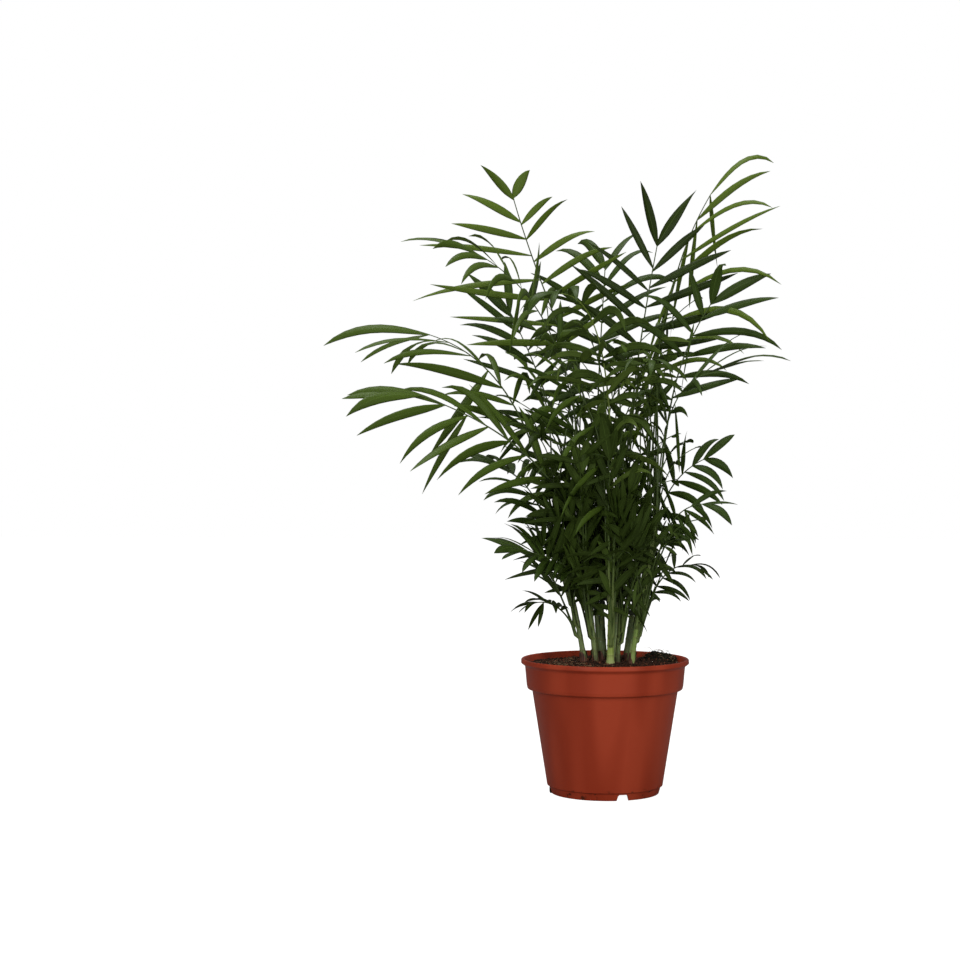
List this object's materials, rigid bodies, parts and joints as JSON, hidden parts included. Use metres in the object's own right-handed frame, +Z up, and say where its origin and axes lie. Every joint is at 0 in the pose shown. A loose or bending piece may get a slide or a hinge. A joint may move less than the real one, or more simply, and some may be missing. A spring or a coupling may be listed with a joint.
{
  "type": "potted parlour palm",
  "caption": "Bushy indoor parlour palm with arching feather-like fronds on a clump of short green stems, growing in a round nursery pot filled with soil.",
  "frame": {"origin": "middle of the pot's underside, on the ground", "axes": "+Z up; -Y towards the side from which the plant is usually seen"},
  "size_m": [0.4482, 0.296, 0.6455],
  "materials": {
    "pot": "injection-moulded polypropylene, terracotta colour, satin",
    "soil": "moist peat compost with bark and perlite",
    "stems": "smooth green cane with dry papery sheaths at the foot",
    "fronds": "thin leathery dark-green leaflets, satin"
  },
  "bodies": {
    "root": {"pot": "pot", "soil": "soil", "stem_01": "stems", "stem_02": "stems", "stem_03": "stems", "stem_04": "stems", "stem_05": "stems", "stem_06": "stems", "stem_07": "stems", "stem_08": "stems", "stem_09": "stems", "stem_10": "stems", "stem_11": "stems", "stem_12": "stems", "frond_tall_left": "fronds", "frond_arching_left": "fronds", "frond_behind_left": "fronds", "frond_front_left": "fronds", "frond_far_left": "fronds", "frond_low_left": "fronds", "frond_centre": "fronds", "frond_behind_centre": "fronds", "frond_tall_right": "fronds", "frond_right": "fronds", "frond_far_right": "fronds", "frond_front_right": "fronds", "frond_lower_left_1": "fronds", "frond_lower_left_2": "fronds", "frond_lowest_left": "fronds", "frond_lower_right_1": "fronds", "frond_lower_right_2": "fronds", "frond_lower_right_3": "fronds", "frond_lowest_right": "fronds", "frond_upper_1": "fronds", "frond_upper_2": "fronds", "frond_upper_3": "fronds", "frond_upper_4": "fronds", "frond_upper_5": "fronds", "frond_upper_6": "fronds", "frond_upper_7": "fronds", "frond_upper_8": "fronds", "frond_upper_9": "fronds", "frond_upper_10": "fronds", "frond_upper_11": "fronds", "frond_upper_12": "fronds", "frond_middle_1": "fronds", "frond_middle_2": "fronds", "frond_middle_3": "fronds", "frond_middle_4": "fronds", "frond_middle_5": "fronds", "frond_middle_6": "fronds", "frond_middle_7": "fronds", "frond_middle_8": "fronds", "frond_middle_9": "fronds", "frond_middle_10": "fronds", "frond_middle_11": "fronds", "frond_middle_12": "fronds", "frond_inner_1": "fronds", "frond_inner_2": "fronds", "frond_inner_3": "fronds"}
  },
  "joints": []
}
